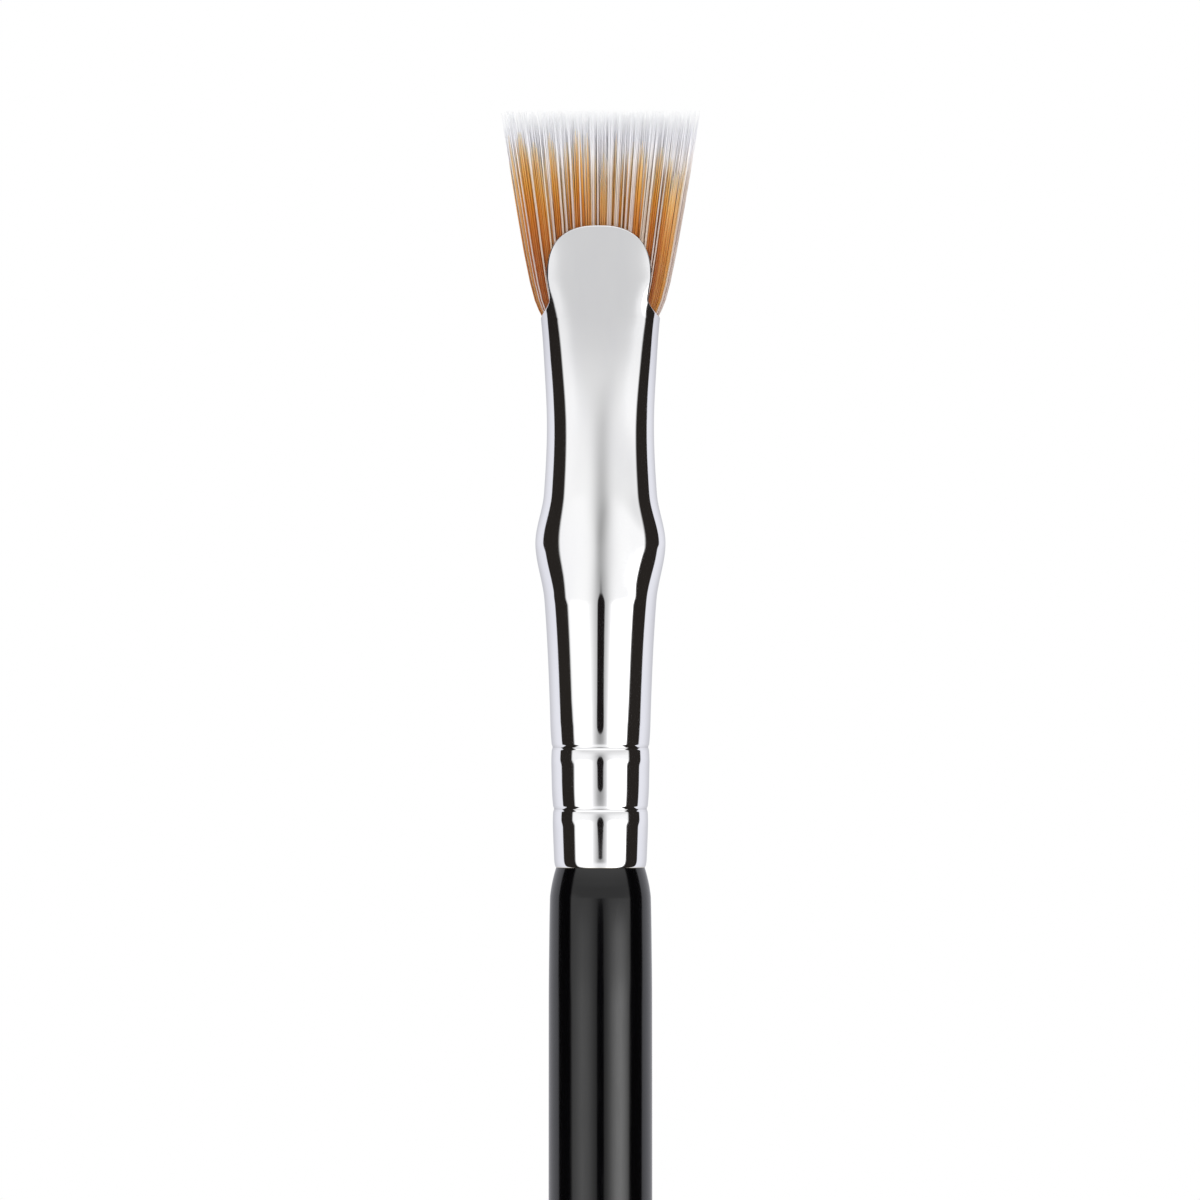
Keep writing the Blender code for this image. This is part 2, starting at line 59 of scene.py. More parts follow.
# Ferrule: its edge, crimps and the heights where its outline turns
FERRULE_WALL = 0.0003
BASE_RADIUS = 0.00331
BASE_EDGE_ROUND = 0.00015
BASE_EDGE_HEIGHT = 0.0006
BARREL_HEIGHT = 0.0027
BARREL_RADIUS = 0.00342
CRIMP_HEIGHTS = (0.00425, 0.00869)
CRIMP_DEPTH = 0.00012
CRIMP_REACH_ABOVE = 0.0016
CRIMP_REACH_BELOW = 0.0013
CRIMP_SOFTNESS = 0.00002
GROOVE_SHARE = 0.38
GROOVE_HALF_WIDTH = 0.00018
GROOVE_SOFTNESS = 0.25
COLLAR_HEIGHT = 0.01209
COLLAR_RADIUS = 0.00366
FLARE_HEIGHT = 0.01929
SWELL_HEIGHT = 0.02004
BULGE_HEIGHT = 0.02339
RECOVERY_HEIGHT = 0.02699
NECK_HEIGHT = 0.03179
LEAN_HEIGHT = 0.03410
PRESS_HEIGHT = 0.03659
THROAT_HEIGHT = 0.03810
MOUTH_HEIGHT = 0.03959
MOUTH_HALF_WIDTH = 0.00430
WIDEST_RISE = 0.0029
PINCH_RISE = 0.0013
PINCH_HALF_WIDTH = 0.00366
TONGUE_RISE = TONGUE_TOP_HEIGHT - MOUTH_HEIGHT
TONGUE_HALF_WIDTH = 0.00386
TONGUE_HEAD_POWER = 2.6
TONGUE_TOP_SHARE = 0.4
RIM_BULGE = 0.00010

# The tube's half widths, half depths and how square its section is, at heights above its base
WIDTH_STATIONS = (
    (0.0, BASE_RADIUS),
    (BARREL_HEIGHT, BARREL_RADIUS),
    (COLLAR_HEIGHT, COLLAR_RADIUS),
    (FLARE_HEIGHT, 0.00404),
    (BULGE_HEIGHT, 0.00470),
    (RECOVERY_HEIGHT, 0.00407),
    (NECK_HEIGHT, 0.00386),
    (PRESS_HEIGHT, 0.00407),
    (MOUTH_HEIGHT, MOUTH_HALF_WIDTH),
    (MOUTH_HEIGHT + WIDEST_RISE, 0.00480),
    (TONGUE_TOP_HEIGHT, 0.00495),
)
DEPTH_STATIONS = (
    (0.0, BASE_RADIUS),
    (BARREL_HEIGHT, BARREL_RADIUS),
    (COLLAR_HEIGHT, COLLAR_RADIUS),
    (FLARE_HEIGHT, 0.00364),
    (SWELL_HEIGHT, 0.003625),
    (BULGE_HEIGHT, 0.003531),
    (RECOVERY_HEIGHT, 0.003421),
    (NECK_HEIGHT, 0.003241),
    (LEAN_HEIGHT, 0.003136),
    (PRESS_HEIGHT, 0.002999),
    (THROAT_HEIGHT, 0.002897),
    (MOUTH_HEIGHT, 0.002777),
    (MOUTH_HEIGHT + WIDEST_RISE, 0.00242),
    (TONGUE_TOP_HEIGHT, 0.00205),
)
POWER_STATIONS = (
    (FLARE_HEIGHT, 2.0),
    (BULGE_HEIGHT, 1.8),
    (RECOVERY_HEIGHT, 2.0),
    (MOUTH_HEIGHT, 2.0),
    (MOUTH_HEIGHT + WIDEST_RISE, 2.05),
    (TONGUE_TOP_HEIGHT, 2.3),
)

# A tongue's half widths, at rises above the mouth
NOTCH_STATIONS = (
    (0.0, MOUTH_HALF_WIDTH),
    (PINCH_RISE, PINCH_HALF_WIDTH),
    (WIDEST_RISE, TONGUE_HALF_WIDTH),
)

# Ferrule mesh
HALF_COLUMNS = 72
EDGE_LEVELS = 8
TUBE_LEVEL_STEP = 0.00030
CRIMP_LEVEL_STEP = 0.000018
CRIMP_FINE_REACH = 0.00036
INNER_LEVELS = 40
NOTCH_ROWS = 16
SIDE_ROWS = 10
HEAD_ROWS = 18
RIM_STEPS = 6
FERRULE_SHARP_ANGLE = math.radians(60)

# Handle: radii at drops below its top, its tail, and how it grows between them
SHOULDER_DROP = 0.0023
GRIP_DROP = 0.026
GRIP_RADIUS = 0.00374
SHOULDER_STATIONS = (
    (0.0, 0.00317),
    (0.00046, 0.00331),
    (0.00092, 0.003425),
    (0.0016, 0.00356),
    (SHOULDER_DROP, 0.00364),
    (0.0059, 0.00370),
    (0.0095, 0.00373),
    (GRIP_DROP, GRIP_RADIUS),
)
TAIL_RADIUS = 0.0023
TAIL_FLAT_RADIUS = 0.0010
TAIL_DOME_HEIGHT = 0.0026
TAPER_SHARES = ((0.0, 0.0), (0.2, 0.13), (0.4, 0.34), (0.6, 0.60), (0.8, 0.85), (1.0, 1.0))
TENON_RADIUS = 0.00266

# Handle mesh
HANDLE_COLUMNS = 128
TAIL_LEVELS = 12
HANDLE_LEVEL_STEP = 0.0006
SHOULDER_LEVEL_STEP = 0.00008
HANDLE_SHARP_ANGLE = math.radians(50)

# Fan: its half widths at rises above the mouth, and its section
STRAND_CLEARANCE = 0.00006
ROOT_HALF_WIDTH = 0.00372
TIP_HALF_WIDTH = 0.00723
FAN_SPREADS = (
    (-0.0003, 0.00392),
    (0.0003, 0.00424),
    (0.0012, 0.00464),
    (0.0026, 0.00502),
    (0.0055, 0.00560),
    (0.0084, 0.00611),
    (0.0112, 0.00661),
)
FAN_STATIONS = (
    (LAYER_BASE_HEIGHT, ROOT_HALF_WIDTH),
    *((MOUTH_HEIGHT + rise, spread) for rise, spread in FAN_SPREADS),
    (TIP_HEIGHT, TIP_HALF_WIDTH),
)
PACKED_POWER = 2.0
FAN_POWER = 2.4
FAN_TIP_HALF_DEPTH = 0.00140

# Strands: their rings at rises above the mouth, their radii, and how they taper and stray
STRAND_SIDES = 5
RING_RISES = (-0.0003, 0.0006, 0.0013, 0.0026, 0.0048, 0.0076, 0.0104)
LAST_RING_GAP = 0.0006
WHITE_RADIUS = 0.000064
AMBER_RADIUS = 0.000072
TIP_RADIUS_SHARE = 0.12
TAPER_START_SHARE = 0.50
TAPER_POWER = 1.3
STRAND_SWAY = 0.00009
STRAND_DIP = 0.00007
SEED = 11

# Layers, as shares of the fan's half depth, and how closely strands stand in them
WHITE_LAYER = (0.84, 0.95)
WHITE_UNDER_LAYER = (0.50, 0.72)
AMBER_LAYER = (0.52, 0.80)
CORE_LAYER = (-0.48, 0.48)
ROW_STEP = 0.000108
COLUMN_STEP = 0.000112
ROW_SHIFT_SHARE = 0.8
COLUMN_JITTER_SHARE = 0.2
FILLING_SHARE = 1.6

# Amber tufts across the front of the fan, from -1 to 1: middle, half width, how far below the
# tips they end, and how pale they are
TUFTS = (
    (-0.967, 0.030, 0.0016, 0.40),
    (-0.843, 0.078, 0.0015, 0.0),
    (-0.691, 0.062, 0.0022, 0.05),
    (-0.594, 0.018, 0.0026, 0.35),
    (-0.518, 0.048, 0.0015, 0.05),
    (-0.430, 0.018, 0.0030, 0.40),
    (-0.355, 0.032, 0.0020, 0.15),
    (-0.234, 0.060, 0.0012, 0.0),
    (-0.133, 0.042, 0.0016, 0.40),
    (-0.040, 0.020, 0.0028, 0.35),
    (0.056, 0.048, 0.0030, 0.30),
    (0.171, 0.020, 0.0016, 0.45),
    (0.282, 0.046, 0.0026, 0.10),
    (0.352, 0.018, 0.0022, 0.45),
    (0.465, 0.060, 0.0022, 0.0),
    (0.580, 0.014, 0.0030, 0.50),
    (0.660, 0.048, 0.0026, 0.05),
    (0.767, 0.046, 0.0034, 0.15),
    (0.858, 0.050, 0.0038, 0.45),
    (0.930, 0.016, 0.0034, 0.70),
)
TUFT_ROUNDING = 0.0012
TUFT_SPREAD = 0.0016
TUFT_PULL = 0.22
TUFT_PULL_REACH = 1.4
TUFT_TONES = (-0.12, 0.22)
TUFT_EDGE_SOFTNESS = 0.1
AMBER_BETWEEN_DROP = 0.0050
AMBER_BETWEEN_SPREAD = 0.0010

# White strands: how far their tips fall short, how many stand over the tufts and under them,
# past which column no white strand hides behind a tuft, and past which one none is amber
WHITE_DROP = 0.0018
WHITE_UNDER_DROP = 0.0026
CORE_DROP = 0.0030
WHITE_OVER_SHARE = 0.03
WHITE_UNDER_SHARE = 1.0
CROWDED_SIDE = 0.55
WHITE_EDGE = 0.955

# Plating: how far below and above the mouth it turns satin, how far below it starts to darken
# with painted shade, the painted shade in the creases, and the bare brass of the cut edge
SATIN_BELOW = 0.0008
SATIN_ABOVE = 0.0014
MOUTH_SHADE_BELOW = 0.0070
TUBE_ROUGHNESS = (0.035, 0.075)
SATIN_ROUGHNESS = (0.055, 0.085)
DARK_NICKEL = (0.90, 0.90, 0.915)
LIGHT_NICKEL = (0.93, 0.93, 0.935)
# Painted shade: a darker tint over the upper tube and the tongues
MOUTH_SHADE_TINT = (0.88, 0.88, 0.885)
# Painted shade along the two crimp creases: how far it reaches, how strong it is, and its tone
CREASE_SHADE_REACH = (0.00003, 0.00009)
CREASE_SHADE_SHARE = 0.22
CREASE_SHADE_TONE = (0.30, 0.29, 0.28)
BRASS_REACH = (0.00002, 0.00007)
BRASS_SHARE = 0.8
BRASS = (0.80, 0.66, 0.36)

# Lacquer
DEEP_BLACK = (0.0003, 0.0003, 0.0006)
SOFT_BLACK = (0.0006, 0.0006, 0.0012)
COAT_ROUGHNESS = (0.09, 0.13)
PAINT_ROUGHNESS = (0.30, 0.40)

# Filaments: the tone of their pale streaks, and how far light spreads inside them
BLEACHED = (0.95, 0.93, 0.92)
GLOW_REACH = 0.00008

# What the ferrule hides, each from its darker to its lighter tone
GLUE_TONES = ((0.55, 0.40, 0.20), (0.78, 0.66, 0.44))
RESIN_TONES = ((0.66, 0.46, 0.18), (0.86, 0.72, 0.42))
YARN_TONES = ((0.42, 0.37, 0.30), (0.76, 0.72, 0.64))
YARN_TONE_RANGE = (0.2, 0.8)

# Depths of the fine relief on each surface
PLATING_RIPPLE = 0.00001
LACQUER_PEEL = 0.00001
FILAMENT_STREAK = 0.000004
GLUE_LUMP = 0.00004
RESIN_LUMP = 0.00003
YARN_TURN = 0.00012

# Ranges of a noise that are spread over a change of tone
NOISE_MIDDLE = (0.3, 0.7)
NOISE_WEAR = (0.3, 0.75)
NOISE_HAZE = (0.35, 0.75)
NOISE_STREAKS = (0.3, 0.8)

# Floor: a round sheet of paper that runs out into plain white between two distances
FLOOR_RADIUS = 1.1
FLOOR_SEGMENTS = 96
PAPER_FADE = (0.12, 0.55)
GREY_PAPER = (0.90, 0.90, 0.905)
WHITE_PAPER = (0.93, 0.93, 0.93)

# Lamps, which reflections don't show: name, power, size and place
LAMPS = (
    ("key", 3.9, 0.7, (-0.55, -0.85, 0.75)),
    ("fill", 2.3, 0.8, (0.75, -0.70, 0.45)),
    ("back", 1.7, 0.8, (0.2, 0.95, 0.75)),
)
LAMP_AIM = (0.0, 0.0, 0.12)

# Studio seen in the plating and the lacquer. All angles are in degrees, round the brush from
# the camera, or up from level.
WHITE = (1.0, 1.0, 1.0)
BLACK = (0.0, 0.0, 0.0)

# The tent's brightness round the brush, and the heights where its roof takes over
TENT = (
    (-75.0, 0.80),
    (-60.0, 1.15),
    (-42.0, 1.95),
    (-28.0, 1.60),
    (-15.0, 0.82),
    (-6.0, 0.42),
    (0.0, 0.34),
    (6.0, 0.42),
    (13.0, 0.72),
    (19.0, 1.25),
    (27.0, 2.40),
    (37.0, 3.70),
    (46.0, 4.00),
    (55.0, 3.10),
    (63.0, 1.90),
    (75.0, 1.00),
)
TENT_PEAK = 4.0
TENT_TOP = (-1.1, 1.1)

# The roof's brightness by height, and how far its pattern sinks towards the right
CEILING = (
    (0.0, 1.03),
    (3.9, 1.03),
    (5.1, 0.90),
    (6.0, 0.835),
    (7.0, 0.80),
    (8.5, 0.775),
    (11.0, 0.76),
    (18.0, 0.76),
    (32.0, 1.15),
    (45.0, 1.15),
)
CEILING_PEAK = 1.2
CEILING_SLANT = (-10.0, 30.0)
CEILING_SLANT_DROP = 0.6

# The slit over the camera, and the openings at both sides of the roof
SLIT_WIDTH = 16.0
SLIT_DEPTH = 0.62
SLIT_TOP = (3.4, 7.0)
LEFT_OPENING = (-64.0, -40.0)
LEFT_OPENING_SHARE = 0.75
RIGHT_OPENING = (56.0, 76.0)
RIGHT_OPENING_SHARE = 0.30
OPENING_TOP = (9.0, 12.5)

# The floor in front, and the pale wall behind
FLOOR_TOP = (-24.0, -9.0)
FLOOR_LEVEL = (1.05, 1.05, 1.06)
FLOOR_SHARE = 0.7
BEHIND_LEVEL = (0.84, 0.845, 0.91)
FAR_BEHIND_LEVEL = (0.60, 0.60, 0.64)
FAR_BEHIND = (118.0, 168.0)

# The dark gap at each side between tent and wall, which lies further forward below level
GAP_LEVEL = (0.021, 0.018, 0.016)
GAP_SLANT = (-3.0, 0.5)
GAP_SLANT_TURN = 6.0
GAP_NEAR = 71.5
GAP_FAR = 110.5
GAP_NEAR_SOFTNESS = 2.6
GAP_FAR_SOFTNESS = 1.2

# The dark lens in the middle, and the even light that matt surfaces get instead of the studio
LENS_HALF_ANGLE = 8.2
LENS_LOW = -7.0
LENS_HIGH = 3.0
LENS_EDGE = (0.75, 1.15)
LENS_LEVEL = (0.012, 0.010, 0.010)
AMBIENT_LEVEL = (0.76, 0.77, 0.79)

# Camera: level, far enough for the flat look of a long lens
CAMERA_DISTANCE = 1.2
CAMERA_TURN = math.radians(4.0)
CAMERA_HEIGHT = 0.1447
CAMERA_ASIDE = -0.00003
PHOTO_SPAN = 0.0865
SENSOR = 36.0


def mix(first, second, share):
    return first + (second - first) * share


def smooth(stations, at):
    """A smooth curve through the stations that never swings past them."""
    places = [place for place, _ in stations]
    values = [value for _, value in stations]
    if at <= places[0]:
        return values[0]
    if at >= places[-1]:
        return values[-1]
    spans = [b - a for a, b in zip(places, places[1:])]
    slopes = [(b - a) / span for a, b, span in zip(values, values[1:], spans)]
    tangents = [slopes[0]]
    for before, after in zip(slopes, slopes[1:]):
        level = before * after <= 0
        tangents.append(0.0 if level else 2 * before * after / (before + after))
    tangents.append(slopes[-1])
    i = max(k for k, place in enumerate(places[:-1]) if place <= at)
    s = (at - places[i]) / spans[i]
    rise = s * s * (3 - 2 * s)
    lead = s * (1 - s) * (1 - s) * spans[i] * tangents[i]
    trail = s * s * (1 - s) * spans[i] * tangents[i + 1]
    return mix(values[i], values[i + 1], rise) + lead - trail


def oval(share, power):
    """How deep an oval is at a share of its half width, as a share of its half depth."""
    return max(0.0, 1 - abs(share) ** power) ** (1 / power)


def groove(away):
    """A small round groove's profile: 1 at its bottom, soft at its lips and near 0 beyond."""
    def depth(inside):
        return inside + math.hypot(inside, GROOVE_SOFTNESS)

    return depth(1 - (away / GROOVE_HALF_WIDTH) ** 2) / depth(1.0)


def crimp(height):
    """How far the two crimps draw the tube in: a round groove in a waist, longer above it."""
    depth = 0.0
    for centre in CRIMP_HEIGHTS:
        away = math.hypot(height - centre, CRIMP_SOFTNESS)
        reach = CRIMP_REACH_ABOVE if height > centre else CRIMP_REACH_BELOW
        waist = max(0.0, 1 - away / reach) ** 2
        depth += CRIMP_DEPTH * mix(waist, groove(away), GROOVE_SHARE)
    return depth


def edge_round(height):
    """How far the rolled base edge draws the outside of the tube in."""
    low = max(0.0, 1 - height / BASE_EDGE_HEIGHT)
    return BASE_EDGE_ROUND * (1 - math.sqrt(1 - low * low))


def half_width(height):
    return smooth(WIDTH_STATIONS, height) - crimp(height)


def half_depth(height):
    return smooth(DEPTH_STATIONS, height) - crimp(height)


def wall_point(height, inset, share, side):
    """A point on the tube's wall: share runs -1 to 1 across X, side is -1 in front and 1 behind."""
    across = (half_width(height) - inset) * share
    deep = (half_depth(height) - inset) * oval(share, smooth(POWER_STATIONS, height))
    return (across, side * deep, FERRULE_BASE + height)


def column_shares():
    return [-math.cos(math.pi * k / HALF_COLUMNS) for k in range(HALF_COLUMNS + 1)]


def tube_ring(height, inset):
    shares = column_shares()
    front = [wall_point(height, inset, share, -1) for share in shares]
    back = [wall_point(height, inset, share, 1) for share in reversed(shares[1:-1])]
    return front + back


def round_ring(height, radius):
    angles = [2 * math.pi * k / HANDLE_COLUMNS for k in range(HANDLE_COLUMNS)]
    return [(radius * math.cos(a), radius * math.sin(a), height) for a in angles]


def add_rings(body, rings):
    return [[body.verts.new(point) for point in ring] for ring in rings]


def bridge(body, first, second, closed=True):
    count = len(first)
    for k in range(count if closed else count - 1):
        after = (k + 1) % count
        body.faces.new((first[k], first[after], second[after], second[k]))


def skin(body, rows, closed=True):
    for lower, upper in zip(rows, rows[1:]):
        bridge(body, lower, upper, closed)


def show(name, mesh, surface, nodes):
    """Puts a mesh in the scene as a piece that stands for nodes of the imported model."""
    mesh.materials.append(surface)
    made = bpy.data.objects.new(name, mesh)
    bpy.context.scene.collection.objects.link(made)
    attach(made, "root")
    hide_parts(*nodes)


def mesh_of(name, body):
    """A smooth-shaded mesh from a bmesh body, with its faces turned outwards."""
    bmesh.ops.recalc_face_normals(body, faces=body.faces[:])
    mesh = bpy.data.meshes.new(name)
    body.to_mesh(mesh)
    body.free()
    mesh.shade_smooth()
    return mesh


class Surface:
    """A material under construction, with short calls for the nodes that feed its shader."""

    def __init__(self, name):
        self.material = bpy.data.materials.new(name)
        self.material.use_nodes = True
        self.nodes = self.material.node_tree.nodes
        self.links = self.material.node_tree.links
        self.shader = self.nodes["Principled BSDF"]

    def set(self, values):
        """Sets plain values on the shader's own sockets."""
        for socket, value in values.items():
            self.shader.inputs[socket].default_value = value

    def feed(self, socket, source):
        self.links.new(source, self.shader.inputs[socket])

    def fill(self, node, index, value):
        """Gives a node's socket a plain number, or links it to another socket."""
        if isinstance(value, (int, float)):
            node.inputs[index].default_value = value
        else:
            self.links.new(value, node.inputs[index])

    def place(self, stretch=(1.0, 1.0, 1.0)):
        """Object coordinates, stretched along each axis."""
        where = self.nodes.new("ShaderNodeTexCoord")
        scaled = self.nodes.new("ShaderNodeMapping")
        scaled.inputs["Scale"].default_value = stretch
        self.links.new(where.outputs["Object"], scaled.inputs["Vector"])
        return scaled.outputs["Vector"]

    def axis(self, letter):
        split = self.nodes.new("ShaderNodeSeparateXYZ")
        self.links.new(self.place(), split.inputs["Vector"])
        return split.outputs[letter]

    def attribute(self, name):
        node = self.nodes.new("ShaderNodeAttribute")
        node.attribute_name = name
        return node.outputs["Fac"]

    def noise(self, stretch, scale, detail=3.0, roughness=0.5):
        node = self.nodes.new("ShaderNodeTexNoise")
        node.inputs["Scale"].default_value = scale
        node.inputs["Detail"].default_value = detail
        node.inputs["Roughness"].default_value = roughness
        self.links.new(self.place(stretch), node.inputs["Vector"])
        return node.outputs["Fac"]

    def math(self, operation, first, second=0.0):
        node = self.nodes.new("ShaderNodeMath")
        node.operation = operation
        self.fill(node, 0, first)
        self.fill(node, 1, second)
        return node.outputs[0]

    def between(self, share, first, second):
        """Mixes two numbers."""
        node = self.nodes.new("ShaderNodeMix")
        for index, value in ((0, share), (2, first), (3, second)):
            self.fill(node, index, value)
        return node.outputs[0]

    def remap(self, source, low, high, to_low=0.0, to_high=1.0, soft=True):
        """Spreads one range of numbers over another, and holds them at its ends."""
        node = self.nodes.new("ShaderNodeMapRange")
        node.interpolation_type = "SMOOTHSTEP" if soft else "LINEAR"
        self.links.new(source, node.inputs["Value"])
        node.inputs["From Min"].default_value = low
        node.inputs["From Max"].default_value = high
        node.inputs["To Min"].default_value = to_low
        node.inputs["To Max"].default_value = to_high
        return node.outputs["Result"]

    def ramp(self, source, stops):
        """A colour along a row of (place, colour) stops."""
        node = self.nodes.new("ShaderNodeValToRGB")
        bar = node.color_ramp.elements
        while len(bar) < len(stops):
            bar.new(0.5)
        for stop, (place, colour) in zip(bar, stops):
            stop.position = place
            stop.color = (*colour, 1.0)
        self.links.new(source, node.inputs["Fac"])
        return node.outputs["Color"]

    def blend(self, share, first, second, kind="MIX"):
        """Mixes two colours, each a socket or a plain colour."""
        node = self.nodes.new("ShaderNodeMix")
        node.data_type = "RGBA"
        node.blend_type = kind
        self.fill(node, 0, share)
        for index, value in ((6, first), (7, second)):
            if isinstance(value, tuple):
                node.inputs[index].default_value = (*value, 1.0)
            else:
                self.links.new(value, node.inputs[index])
        return node.outputs[2]

    def mottle(self, noise, first, second):
        """A colour that wanders between two as a noise does."""
        low, high = NOISE_MIDDLE
        return self.ramp(noise, ((low, first), (high, second)))

    def bump(self, height, strength, distance):
        node = self.nodes.new("ShaderNodeBump")
        node.inputs["Strength"].default_value = strength
        node.inputs["Distance"].default_value = distance
        self.links.new(height, node.inputs["Height"])
        self.feed("Normal", node.outputs["Normal"])


def plating_roughness(made, height, mouth):
    """Mirror smooth with a little wear on the tube, and finely grained above the mouth."""
    satin = made.remap(height, mouth - SATIN_BELOW, mouth + SATIN_ABOVE)
    wear = made.noise(stretch=(1.0, 1.0, 0.25), scale=900.0, detail=4.0, roughness=0.6)
    grain = made.noise(stretch=(1.0, 1.0, 0.5), scale=9000.0, detail=2.0)
    smooth_tube = made.remap(wear, *NOISE_WEAR, *TUBE_ROUGHNESS)
    grained_tongue = made.remap(grain, *NOISE_MIDDLE, *SATIN_ROUGHNESS)
    return made.between(satin, smooth_tube, grained_tongue)


def plating_colour(made, height, mouth):
    """Nickel, with painted shade in the creases and towards the mouth, and brass at the cut edge."""
    # Painted shade: the nickel is darkened along each crimp crease
    crease_shades = []
    for centre in CRIMP_HEIGHTS:
        away = made.math("ABSOLUTE", made.math("SUBTRACT", height, FERRULE_BASE + centre))
        crease_shades.append(made.remap(away, *CREASE_SHADE_REACH, 1.0, 0.0))
    crease_shade = made.math("MAXIMUM", *crease_shades)
    cloud = made.noise(stretch=(1.0, 1.0, 0.3), scale=420.0)
    clean = made.blend(made.remap(cloud, *NOISE_MIDDLE), DARK_NICKEL, LIGHT_NICKEL)
    crease_shaded = made.blend(made.math("MULTIPLY", crease_shade, CREASE_SHADE_SHARE), clean, CREASE_SHADE_TONE)
    # Painted shade: darkens the nickel over the upper tube and the tongues, most towards the mouth
    mouth_shade = made.remap(height, mouth - MOUTH_SHADE_BELOW, mouth)
    mouth_shaded = made.blend(mouth_shade, crease_shaded, MOUTH_SHADE_TINT, "MULTIPLY")
    low, high = BRASS_REACH
    brass = made.remap(height, FERRULE_BASE + low, FERRULE_BASE + high, BRASS_SHARE, 0.0)
    return made.blend(brass, mouth_shaded, BRASS)


def plating():
    """Bright nickel on brass."""
    made = Surface("bright_plated_metal")
    made.set({"Metallic": 1.0})
    height = made.axis("Z")
    mouth = FERRULE_BASE + MOUTH_HEIGHT
    made.feed("Roughness", plating_roughness(made, height, mouth))
    made.feed("Base Color", plating_colour(made, height, mouth))
    ripple = made.noise(stretch=(1.0, 1.0, 0.35), scale=700.0, detail=2.0)
    made.bump(ripple, strength=0.10, distance=PLATING_RIPPLE)
    return made.material


def lacquer():
    """Black piano lacquer under a clear coat, with the faint orange peel of a sprayed finish."""
    made = Surface("black_gloss_lacquer")
    made.set({"Coat Weight": 1.0, "Coat IOR": 1.5, "Specular IOR Level": 0.01})
    depth = made.noise(stretch=(1.0, 1.0, 0.4), scale=260.0)
    made.feed("Base Color", made.mottle(depth, DEEP_BLACK, SOFT_BLACK))
    haze = made.noise(stretch=(1.0, 1.0, 0.1), scale=2400.0, detail=4.0, roughness=0.65)
    made.feed("Coat Roughness", made.remap(haze, *NOISE_HAZE, *COAT_ROUGHNESS))
    made.feed("Roughness", made.remap(haze, *NOISE_HAZE, *PAINT_ROUGHNESS))
    peel = made.noise(stretch=(1.0, 1.0, 0.5), scale=900.0, detail=2.0)
    made.bump(peel, strength=0.06, distance=LACQUER_PEEL)
    return made.material


def filament(name, plain, other, roughness, gleam, glow, bleach):
    """A drawn synthetic filament: its colour changes towards the tip, and strand by strand, and
    painted shade darkens it towards the root.

    Its two colours run along a strand, gleam is its specular level, glow says how far red, green
    and blue light spread as shares of GLOW_REACH, and bleach is how pale its streaks are.
    """
    made = Surface(name)
    made.set({"Roughness": roughness, "Specular IOR Level": gleam, "IOR": 1.5})
    made.set({"Subsurface Weight": 0.2, "Subsurface Radius": glow, "Subsurface Scale": GLOW_REACH})
    along = made.attribute("along")
    tone = made.attribute("tone")
    coloured = made.blend(tone, made.ramp(along, plain), made.ramp(along, other))
    streaks = made.noise(stretch=(1.0, 1.0, 0.05), scale=9000.0, detail=2.0)
    paler = made.remap(streaks, *NOISE_STREAKS, 0.0, bleach)
    made.feed("Base Color", made.blend(paler, coloured, BLEACHED))
    made.bump(streaks, strength=0.15, distance=FILAMENT_STREAK)
    return made.material


def amber_surface():
    # Painted shade: the amber is darkest at the root, where packed strands shade each other; its
    # paler thin tips are its own
    deep = (
        (0.0, (0.28, 0.060, 0.002)),
        (0.35, (0.35, 0.086, 0.003)),
        (0.5, (0.46, 0.128, 0.004)),
        (0.65, (0.57, 0.19, 0.008)),
        (0.75, (0.70, 0.30, 0.03)),
        (0.87, (0.82, 0.47, 0.15)),
        (1.0, (0.94, 0.77, 0.56)),
    )
    pale = (
        (0.0, (0.57, 0.26, 0.05)),
        (0.5, (0.67, 0.35, 0.10)),
        (0.8, (0.82, 0.56, 0.27)),
        (1.0, (0.95, 0.84, 0.70)),
    )
    return filament(
        "amber_drawn_filament",
        deep,
        pale,
        roughness=0.50,
        gleam=0.25,
        glow=(1.0, 0.45, 0.15),
        bleach=0.05,
    )


def white_surface():
    # Painted shade: the white filament turns grey towards the root, where packed strands shade each
    # other
    lilac = (
        (0.0, (0.55, 0.425, 0.385)),
        (0.5, (0.55, 0.42, 0.37)),
        (0.68, (0.69, 0.58, 0.52)),
        (0.79, (0.92, 0.865, 0.86)),
        (0.88, (0.97, 0.96, 1.0)),
        (1.0, (1.0, 1.0, 1.0)),
    )
    cream = (
        (0.0, (0.60, 0.47, 0.34)),
        (0.5, (0.61, 0.47, 0.33)),
        (0.68, (0.74, 0.62, 0.47)),
        (0.79, (0.94, 0.885, 0.82)),
        (0.88, (0.98, 0.97, 1.0)),
        (1.0, (1.0, 1.0, 1.0)),
    )
    return filament(
        "white_drawn_filament",
        lilac,
        cream,
        roughness=0.38,
        gleam=0.5,
        glow=(1.0, 0.9, 0.85),
        bleach=0.12,
    )


def glue():
    made = Surface("dried_wood_glue")
    made.set({"Roughness": 0.42, "IOR": 1.46})
    lumps = made.noise(stretch=(1.0, 1.0, 0.5), scale=1500.0, detail=4.0)
    made.feed("Base Color", made.mottle(lumps, *GLUE_TONES))
    made.bump(lumps, strength=0.4, distance=GLUE_LUMP)
    return made.material


def resin():
    made = Surface("cast_clear_resin")
    made.set({"Roughness": 0.14, "IOR": 1.52, "Transmission Weight": 0.35})
    cloud = made.noise(stretch=(1.0, 1.0, 1.0), scale=800.0, detail=4.0)
    made.feed("Base Color", made.mottle(cloud, *RESIN_TONES))
    made.bump(cloud, strength=0.2, distance=RESIN_LUMP)
    return made.material


